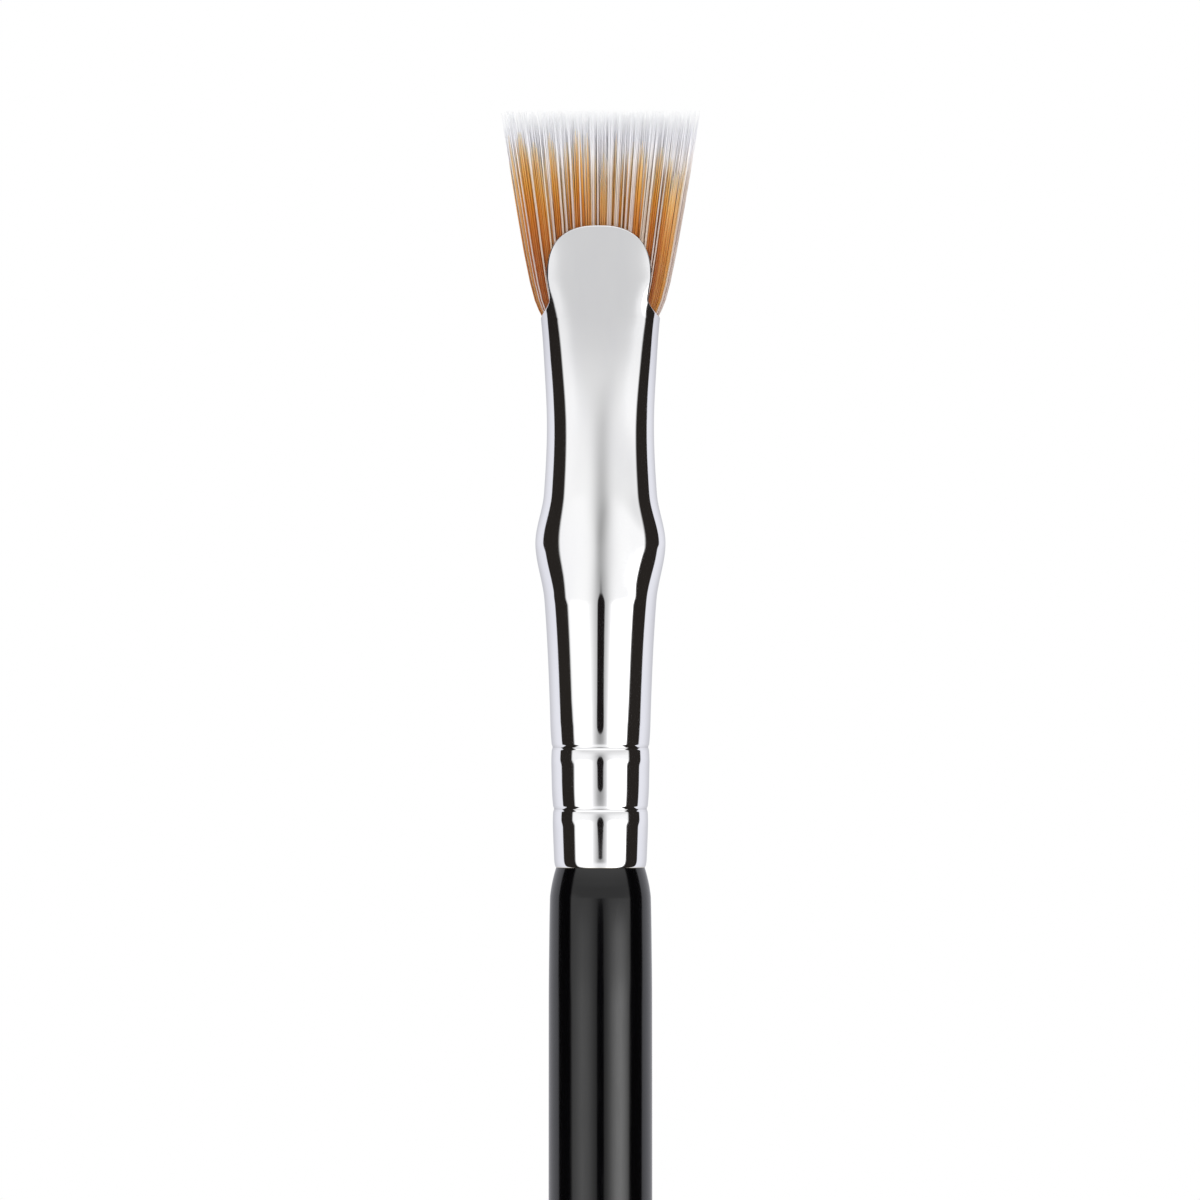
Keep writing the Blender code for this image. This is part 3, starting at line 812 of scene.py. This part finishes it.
def thread():
    made = Surface("waxed_binding_thread")
    made.set({"Roughness": 0.75, "Sheen Weight": 0.3})
    turns = made.nodes.new("ShaderNodeTexWave")
    turns.bands_direction = "Z"
    turns.inputs["Scale"].default_value = 900.0
    turns.inputs["Distortion"].default_value = 0.6
    made.links.new(made.place(), turns.inputs["Vector"])
    wound = turns.outputs["Fac"]
    made.feed("Base Color", made.ramp(wound, tuple(zip(YARN_TONE_RANGE, YARN_TONES))))
    made.bump(wound, strength=0.8, distance=YARN_TURN)
    return made.material


def levels_between(low, high, step):
    """Even levels from low to high, both included, at most a step apart."""
    count = max(1, math.ceil((high - low) / step))
    return [mix(low, high, k / count) for k in range(count + 1)]


def outer_levels():
    """Heights of the tube's rings: close together at the base edge and round the creases."""
    turns = [math.pi / 2 * k / EDGE_LEVELS for k in range(EDGE_LEVELS + 1)]
    levels = [BASE_EDGE_HEIGHT * (1 - math.cos(turn)) for turn in turns]
    for centre in CRIMP_HEIGHTS:
        levels += levels_between(levels[-1], centre - CRIMP_FINE_REACH, TUBE_LEVEL_STEP / 2)[1:]
        levels += levels_between(levels[-1], centre + CRIMP_FINE_REACH, CRIMP_LEVEL_STEP)[1:]
    return levels + levels_between(levels[-1], MOUTH_HEIGHT, TUBE_LEVEL_STEP)[1:]


def tongue_grid():
    """(half width, rise, column share) over one tongue, from the mouth's ring to its round head."""
    even = [-1 + 2 * i / HALF_COLUMNS for i in range(HALF_COLUMNS + 1)]
    grid = []
    for k in range(1, NOTCH_ROWS + 1):
        evenness = k / NOTCH_ROWS
        rise = PINCH_RISE * evenness ** 2
        columns = [mix(a, b, evenness) for a, b in zip(column_shares(), even)]
        grid.append([(smooth(NOTCH_STATIONS, rise), rise, column) for column in columns])
    for k in range(1, SIDE_ROWS + 1):
        rise = mix(PINCH_RISE, WIDEST_RISE, k / SIDE_ROWS)
        grid.append([(smooth(NOTCH_STATIONS, rise), rise, column) for column in even])
    head = TONGUE_RISE - WIDEST_RISE - RIM_BULGE
    side_rise = head * oval(TONGUE_TOP_SHARE, TONGUE_HEAD_POWER)
    for k in range(1, HEAD_ROWS + 1):
        share = math.sin(math.pi / 2 * k / HEAD_ROWS)
        edge = TONGUE_HALF_WIDTH * oval(side_rise * share / head, TONGUE_HEAD_POWER)
        row = []
        for column in even:
            top = head * oval(TONGUE_TOP_SHARE * column, TONGUE_HEAD_POWER)
            row.append((edge, WIDEST_RISE + top * share, column))
        grid.append(row)
    return grid


def tongue_rows(inset, side):
    """Points of one wall of a tongue, drawn in where the rolled edge stands proud of it."""
    rows = []
    for row in tongue_grid():
        line = []
        for edge, rise, column in row:
            height = MOUTH_HEIGHT + rise
            width = edge - RIM_BULGE * min(1.0, rise / PINCH_RISE)
            line.append(wall_point(height, inset, column * width / half_width(height), side))
        rows.append(line)
    return rows


def half_of(ring, side):
    """The front or back half of a whole ring, both ends included, from -X to +X."""
    if side < 0:
        return ring[: HALF_COLUMNS + 1]
    return [ring[0]] + ring[:HALF_COLUMNS:-1] + [ring[HALF_COLUMNS]]


def lip_of(front, back):
    """The closed edge of the mouth: up over the front tongue and back over the one behind."""
    over = [row[0] for row in front] + front[-1][1:-1] + [row[-1] for row in reversed(front)]
    under = [row[-1] for row in back[1:]] + back[-1][-2:0:-1] + [row[0] for row in back[:0:-1]]
    return over + under


def rounded_lip(body, outer, inner):
    """Rolls the sheet's edge over in a half ellipse from the outer wall to the inner one."""
    count = len(outer)
    loops = [outer]
    for step in range(1, RIM_STEPS):
        turn = math.pi * step / RIM_STEPS
        loop = []
        for k in range(count):
            middle = (outer[k].co + inner[k].co) / 2
            reach = (outer[k].co - inner[k].co) / 2
            along = outer[(k + 1) % count].co - outer[k - 1].co
            away = reach.cross(along).normalized()
            spot = middle + reach * math.cos(turn) + away * (RIM_BULGE * math.sin(turn))
            loop.append(body.verts.new(spot))
        loops.append(loop)
    skin(body, loops + [inner])


def make_ferrule():
    body = bmesh.new()
    outer = add_rings(body, [tube_ring(h, edge_round(h)) for h in outer_levels()])
    inner_heights = levels_between(0.0, MOUTH_HEIGHT, MOUTH_HEIGHT / INNER_LEVELS)
    inner = add_rings(body, [tube_ring(h, FERRULE_WALL) for h in inner_heights])
    skin(body, outer)
    skin(body, inner)
    bridge(body, outer[0], inner[0])
    edges = []
    for wall, inset in ((outer, 0.0), (inner, FERRULE_WALL)):
        tongues = []
        for side in (-1, 1):
            rows = [half_of(wall[-1], side)] + add_rings(body, tongue_rows(inset, side))
            skin(body, rows, closed=False)
            tongues.append(rows)
        edges.append(lip_of(*tongues))
    rounded_lip(body, *edges)
    mesh = mesh_of("ferrule_shell", body)
    mesh.set_sharp_from_angle(angle=FERRULE_SHARP_ANGLE)
    show("ferrule_shell", mesh, plating(), ["ferrule"])


def handle_profile():
    """(height, radius) from the tail's flat up to the tenon's end."""
    profile = []
    for k in range(TAIL_LEVELS + 1):
        turn = math.pi / 2 * k / TAIL_LEVELS
        radius = mix(TAIL_FLAT_RADIUS, TAIL_RADIUS, math.sin(turn))
        profile.append((TAIL_DOME_HEIGHT * (1 - math.cos(turn)), radius))
    grip_height = HANDLE_TOP - GRIP_DROP
    taper = []
    for rise, growth in TAPER_SHARES:
        height = mix(TAIL_DOME_HEIGHT, grip_height, rise)
        taper.append((height, mix(TAIL_RADIUS, GRIP_RADIUS, growth)))
    for height in levels_between(TAIL_DOME_HEIGHT, grip_height, HANDLE_LEVEL_STEP)[1:]:
        profile.append((height, smooth(taper, height)))
    neck = levels_between(SHOULDER_DROP, GRIP_DROP, HANDLE_LEVEL_STEP)
    shoulder = levels_between(0.0, SHOULDER_DROP, SHOULDER_LEVEL_STEP)
    for drop in neck[-2::-1] + shoulder[-2::-1]:
        profile.append((HANDLE_TOP - drop, smooth(SHOULDER_STATIONS, drop)))
    profile.append((HANDLE_TOP, TENON_RADIUS))
    profile.append((TENON_TOP, TENON_RADIUS))
    return profile


def make_handle():
    body = bmesh.new()
    rows = add_rings(body, [round_ring(height, radius) for height, radius in handle_profile()])
    skin(body, rows)
    body.faces.new(rows[0])
    body.faces.new(rows[-1])
    mesh = mesh_of("handle_lacquered", body)
    mesh.set_sharp_from_angle(angle=HANDLE_SHARP_ANGLE)
    show("handle_lacquered", mesh, lacquer(), ["handle"])


def fan_half_depth(height):
    """Half depth of the bundle: inside the walls up to the tongues' tops, then almost even."""
    if height <= TONGUE_TOP_HEIGHT:
        return half_depth(height) - FERRULE_WALL - STRAND_CLEARANCE
    at_top = half_depth(TONGUE_TOP_HEIGHT) - FERRULE_WALL - STRAND_CLEARANCE
    rise = (height - TONGUE_TOP_HEIGHT) / (TIP_HEIGHT - TONGUE_TOP_HEIGHT)
    return mix(at_top, FAN_TIP_HALF_DEPTH, rise)


def fan_power(height):
    """How square the bundle's section is, which grows above the notches."""
    free = (height - MOUTH_HEIGHT - WIDEST_RISE) / (TIP_HEIGHT - MOUTH_HEIGHT - WIDEST_RISE)
    return mix(PACKED_POWER, FAN_POWER, min(1.0, max(0.0, free)))


def fan_point(column, layer, height):
    """A place in the bundle: column runs -1 to 1 across it, and layer -1 to 1 from front to back."""
    hug = oval(column, fan_power(height))
    return column * smooth(FAN_STATIONS, height), layer * fan_half_depth(height) * hug


class Layer:
    """Free strands of one kind, gathered as vertices, faces and per-vertex attributes."""

    def __init__(self, chance):
        self.chance = chance
        self.corners = []
        self.faces = []
        self.along = []
        self.tone = []

    def strand(self, column, layer, top, radius, pull, tone):
        """One tapering strand; pull draws its tip aside, as a share of the fan's half width."""
        chance = self.chance
        spin = chance.uniform(0, 2 * math.pi)
        sway = chance.uniform(-STRAND_SWAY, STRAND_SWAY)
        dip = chance.uniform(-STRAND_DIP, STRAND_DIP)
        heights = [LAYER_BASE_HEIGHT] + [MOUTH_HEIGHT + rise for rise in RING_RISES]
        heights = [height for height in heights if height < top - LAST_RING_GAP] + [top]
        first = len(self.corners)
        for height in heights:
            free = max(0.0, (height - MOUTH_HEIGHT) / (TIP_HEIGHT - MOUTH_HEIGHT))
            x, y = fan_point(column + pull * free * free, layer, height)
            x += sway * free
            y += dip * free
            done = max(0.0, (height - MOUTH_HEIGHT) / (top - MOUTH_HEIGHT))
            thin = max(0.0, (done - TAPER_START_SHARE) / (1 - TAPER_START_SHARE))
            size = radius * mix(1.0, TIP_RADIUS_SHARE, thin ** TAPER_POWER)
            for side in range(STRAND_SIDES):
                angle = spin + 2 * math.pi * side / STRAND_SIDES
                corner = (x + size * math.cos(angle), y + size * math.sin(angle))
                self.corners.append((*corner, FERRULE_BASE + height))
                self.along.append(done)
                self.tone.append(tone)
        self.close(first, len(heights) - 1)

    def close(self, first, spans):
        """Faces round a strand whose rings start at a vertex, and its two end caps."""
        for span in range(spans):
            low = first + span * STRAND_SIDES
            high = low + STRAND_SIDES
            for side in range(STRAND_SIDES):
                after = (side + 1) % STRAND_SIDES
                self.faces.append((low + side, low + after, high + after, high + side))
        end = first + spans * STRAND_SIDES
        self.faces.append(tuple(range(first + STRAND_SIDES - 1, first - 1, -1)))
        self.faces.append(tuple(range(end, end + STRAND_SIDES)))

    def shown(self, name, surface, node):
        mesh = bpy.data.meshes.new(name)
        mesh.from_pydata(self.corners, [], self.faces)
        for label, values in (("along", self.along), ("tone", self.tone)):
            mesh.attributes.new(label, "FLOAT", "POINT").data.foreach_set("value", values)
        mesh.shade_smooth()
        show(name, mesh, surface, [node])


def bundle_places(low, high, chance):
    """(column, layer) places that fill the bundle between two layers, row by row."""
    depth = fan_half_depth(MOUTH_HEIGHT)
    width = smooth(FAN_STATIONS, MOUTH_HEIGHT)
    places = []
    for layer in levels_between(low, high, ROW_STEP / depth):
        count = int(2 * width / COLUMN_STEP)
        shift = chance.uniform(-0.5, 0.5)
        for k in range(count):
            jitter = chance.uniform(-COLUMN_JITTER_SHARE, COLUMN_JITTER_SHARE)
            column = -1 + 2 * (k + 0.5 + shift * ROW_SHIFT_SHARE + jitter) / count
            filling = FILLING_SHARE * oval(column, PACKED_POWER)
            if chance.random() < filling:
                places.append((column, layer))
    return places


def nearest_tuft(column):
    """The tuft a column belongs to, and how far out it is in shares of the tuft's half width."""
    tuft = min(TUFTS, key=lambda tuft: abs(column - tuft[0]) / tuft[1])
    return tuft, abs(column - tuft[0]) / tuft[1]


def ragged_top(drop, chance):
    """Where a white strand ends: mostly near the fan's top, and at most a drop below it."""
    return TIP_HEIGHT - chance.uniform(0.0, drop) * chance.random()


def make_white_layer(name, side, surface, node, chance):
    """The outer white strands: a row that leaves the amber tufts bare, and more behind it."""
    layer = Layer(chance)
    for column, depth in bundle_places(*WHITE_LAYER, chance):
        _, aside = nearest_tuft(column)
        edge = 1.0 + chance.uniform(-TUFT_EDGE_SOFTNESS, TUFT_EDGE_SOFTNESS)
        if aside < edge and chance.random() > WHITE_OVER_SHARE:
            continue
        top = ragged_top(WHITE_DROP, chance)
        layer.strand(-side * column, side * depth, top, WHITE_RADIUS, 0.0, chance.random())
    for column, depth in bundle_places(*WHITE_UNDER_LAYER, chance):
        _, aside = nearest_tuft(column)
        crowded = abs(column) > CROWDED_SIDE and aside < 1.0
        if not crowded and chance.random() < WHITE_UNDER_SHARE:
            top = ragged_top(WHITE_UNDER_DROP, chance)
            layer.strand(-side * column, side * depth, top, WHITE_RADIUS, 0.0, chance.random())
    layer.shown(name, surface, node)


def make_amber_layer(name, side, surface, node, chance):
    """Amber strands, whose tufts rise to points of unlike height below the white tips."""
    layer = Layer(chance)
    for column, depth in bundle_places(*AMBER_LAYER, chance):
        if column > WHITE_EDGE:
            continue
        (middle, _, short, pale), aside = nearest_tuft(column)
        drop = short + TUFT_ROUNDING * aside * aside + TUFT_SPREAD * chance.random() ** 2
        drop = min(drop, AMBER_BETWEEN_DROP + chance.uniform(0.0, AMBER_BETWEEN_SPREAD))
        pull = (middle - column) * TUFT_PULL if aside < TUFT_PULL_REACH else 0.0
        tone = min(1.0, max(0.0, pale + chance.uniform(*TUFT_TONES)))
        place = (-side * column, side * depth)
        layer.strand(*place, TIP_HEIGHT - drop, AMBER_RADIUS, -side * pull, tone)
    layer.shown(name, surface, node)


def make_core_layer(name, surface, node, chance):
    """The white strands of the core, which fill the fan up to its tips."""
    layer = Layer(chance)
    for column, depth in bundle_places(*CORE_LAYER, chance):
        top = ragged_top(CORE_DROP, chance)
        layer.strand(column, depth, top, WHITE_RADIUS, 0.0, chance.random())
    layer.shown(name, surface, node)


def make_fan():
    """Five layers from front to back, from one row of random draws."""
    chance = random.Random(SEED)
    white = white_surface()
    amber = amber_surface()
    make_white_layer("white_strands_front", -1, white, "white_filaments_front", chance)
    make_amber_layer("amber_strands_front", -1, amber, "amber_filaments_front", chance)
    make_core_layer("white_strands_core", white, "white_filaments_core", chance)
    make_amber_layer("amber_strands_back", 1, amber, "amber_filaments_back", chance)
    make_white_layer("white_strands_back", 1, white, "white_filaments_back", chance)


def finish_hidden_nodes():
    """Gives the glue, resin and thread inside the ferrule their own surfaces."""
    hidden = (("tenon_glue", glue), ("resin_plug", resin), ("binding_thread", thread))
    for name, surface in hidden:
        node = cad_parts[name]
        node.data.materials.clear()
        node.data.materials.append(surface())


def floor_surface():
    """Pale matt paper near the brush that runs out into plain white."""
    made = Surface("pale_floor")
    made.set({"Roughness": 0.9, "Specular IOR Level": 0.1})
    fibre = made.noise(stretch=(1.0, 1.0, 1.0), scale=220.0)
    made.feed("Base Color", made.mottle(fibre, GREY_PAPER, WHITE_PAPER))
    where = made.nodes.new("ShaderNodeVectorMath")
    where.operation = "LENGTH"
    made.links.new(made.place(), where.inputs[0])
    far = made.remap(where.outputs["Value"], *PAPER_FADE)
    path = made.nodes.new("ShaderNodeLightPath")
    seen = made.math("MAXIMUM", path.outputs["Is Camera Ray"], path.outputs["Is Glossy Ray"])
    white = made.nodes.new("ShaderNodeEmission")
    joined = made.nodes.new("ShaderNodeMixShader")
    made.links.new(made.math("MULTIPLY", far, seen), joined.inputs[0])
    made.links.new(made.shader.outputs[0], joined.inputs[1])
    made.links.new(white.outputs[0], joined.inputs[2])
    made.links.new(joined.outputs[0], made.nodes["Material Output"].inputs["Surface"])
    return made.material


def make_floor():
    body = bmesh.new()
    bmesh.ops.create_circle(body, cap_ends=True, radius=FLOOR_RADIUS, segments=FLOOR_SEGMENTS)
    mesh = mesh_of("floor", body)
    mesh.materials.append(floor_surface())
    floor = bpy.data.objects.new("floor", mesh)
    bpy.context.scene.collection.objects.link(floor)
    floor.visible_glossy = False


class Sky(Surface):
    """The world's node tree, with the same short calls as a material's."""

    def __init__(self):
        self.world = bpy.data.worlds.new("studio")
        self.world.use_nodes = True
        self.nodes = self.world.node_tree.nodes
        self.links = self.world.node_tree.links

    def direction(self):
        """Angles of a ray in degrees: how far round from the camera, and how far up."""
        where = self.nodes.new("ShaderNodeTexCoord")
        turned = self.nodes.new("ShaderNodeVectorRotate")
        turned.rotation_type = "Z_AXIS"
        turned.inputs["Angle"].default_value = -CAMERA_TURN
        self.links.new(where.outputs["Generated"], turned.inputs["Vector"])
        split = self.nodes.new("ShaderNodeSeparateXYZ")
        self.links.new(turned.outputs["Vector"], split.inputs["Vector"])
        front = self.math("MULTIPLY", split.outputs["Y"], -1.0)
        around = self.math("DEGREES", self.math("ARCTAN2", split.outputs["X"], front))
        up = self.math("DEGREES", self.math("ARCSINE", split.outputs["Z"]))
        return around, up


def levels_over(sky, angle, table, peak):
    """Brightness over an angle, from (angle, level) pairs."""
    first, last = table[0][0], table[-1][0]
    stops = [((at - first) / (last - first), (level / peak,) * 3) for at, level in table]
    place = sky.remap(angle, first, last, soft=False)
    return sky.blend(1.0, sky.ramp(place, stops), (peak,) * 3, "MULTIPLY")


def ceiling_colour(sky, around, up):
    """The tent's grey roof, which darkens over the camera's slit and opens at both sides."""
    slant = sky.remap(around, *CEILING_SLANT, 0.0, CEILING_SLANT_DROP)
    level = levels_over(sky, sky.math("ADD", up, slant), CEILING, CEILING_PEAK)
    spread = sky.math("DIVIDE", around, SLIT_WIDTH)
    slit = sky.math("EXPONENT", sky.math("MULTIPLY", sky.math("MULTIPLY", spread, spread), -1.0))
    slit_fading = sky.remap(up, *SLIT_TOP, SLIT_DEPTH, 0.0, soft=False)
    level = sky.blend(sky.math("MULTIPLY", slit, slit_fading), level, BLACK)
    left = sky.remap(around, *LEFT_OPENING, LEFT_OPENING_SHARE, 0.0)
    right = sky.remap(around, *RIGHT_OPENING, 0.0, RIGHT_OPENING_SHARE)
    opening_fading = sky.remap(up, *OPENING_TOP, 1.0, 0.0)
    opening = sky.math("MULTIPLY", sky.math("ADD", left, right), opening_fading)
    return sky.blend(opening, level, WHITE)


def tent_colour(sky, around, up):
    """The bright tent in front: two soft lamps, the slit the camera looks through, roof, floor."""
    lamps = levels_over(sky, around, TENT, TENT_PEAK)
    low = sky.remap(up, *FLOOR_TOP, FLOOR_SHARE, 0.0)
    lower = sky.blend(low, lamps, FLOOR_LEVEL)
    return sky.blend(sky.remap(up, *TENT_TOP), lower, ceiling_colour(sky, around, up))


def studio_colour(sky):
    """What the plating and the lacquer mirror: white tent, two dark gaps and the dark lens."""
    around, up = sky.direction()
    lean = sky.remap(up, *GAP_SLANT, GAP_SLANT_TURN, 0.0)
    aside = sky.math("ADD", sky.math("ABSOLUTE", around), lean)
    behind = sky.blend(sky.remap(aside, *FAR_BEHIND), BEHIND_LEVEL, FAR_BEHIND_LEVEL)
    far_edge = sky.remap(aside, GAP_FAR - GAP_FAR_SOFTNESS, GAP_FAR + GAP_FAR_SOFTNESS)
    near_edge = sky.remap(aside, GAP_NEAR - GAP_NEAR_SOFTNESS, GAP_NEAR + GAP_NEAR_SOFTNESS)
    round_about = sky.blend(near_edge, tent_colour(sky, around, up), GAP_LEVEL)
    round_about = sky.blend(far_edge, round_about, behind)
    across = sky.math("DIVIDE", around, LENS_HALF_ANGLE)
    middle = (LENS_LOW + LENS_HIGH) / 2
    tall = sky.math("DIVIDE", sky.math("SUBTRACT", up, middle), (LENS_HIGH - LENS_LOW) / 2)
    squares = sky.math("ADD", sky.math("MULTIPLY", across, across), sky.math("MULTIPLY", tall, tall))
    lens = sky.remap(squares, *LENS_EDGE, 1.0, 0.0)
    return sky.blend(lens, round_about, LENS_LEVEL)


def make_world():
    """White to the camera, the studio in reflections, and even soft light on matt surfaces."""
    sky = Sky()
    path = sky.nodes.new("ShaderNodeLightPath")
    lighting = sky.blend(path.outputs["Is Glossy Ray"], AMBIENT_LEVEL, studio_colour(sky))
    seen = sky.math("MAXIMUM", path.outputs["Is Camera Ray"], path.outputs["Is Transmission Ray"])
    background = sky.nodes["Background"]
    sky.links.new(sky.blend(seen, lighting, WHITE), background.inputs["Color"])
    bpy.context.scene.world = sky.world


def make_lamp(name, power, size, place):
    light = bpy.data.lights.new(name, "AREA")
    light.energy = power
    light.size = size
    lamp = bpy.data.objects.new(name, light)
    lamp.location = place
    direction = [b - a for a, b in zip(place, LAMP_AIM)]
    lamp.rotation_mode = "QUATERNION"
    lamp.rotation_quaternion = Vector(direction).to_track_quat("-Z", "Y")
    lamp.visible_glossy = False
    bpy.context.scene.collection.objects.link(lamp)


def make_camera():
    data = bpy.data.cameras.new("camera")
    data.sensor_width = SENSOR
    data.lens = SENSOR * CAMERA_DISTANCE / PHOTO_SPAN
    camera = bpy.data.objects.new("camera", data)
    aside = CAMERA_DISTANCE * math.sin(CAMERA_TURN) + CAMERA_ASIDE
    camera.location = (aside, -CAMERA_DISTANCE * math.cos(CAMERA_TURN), CAMERA_HEIGHT)
    camera.rotation_euler = (math.pi / 2, 0.0, CAMERA_TURN)
    bpy.context.scene.collection.objects.link(camera)
    bpy.context.scene.camera = camera


make_camera()
make_floor()
make_world()
for lamp in LAMPS:
    make_lamp(*lamp)
make_handle()
make_ferrule()
make_fan()
finish_hidden_nodes()
bpy.context.scene.view_settings.view_transform = "Standard"
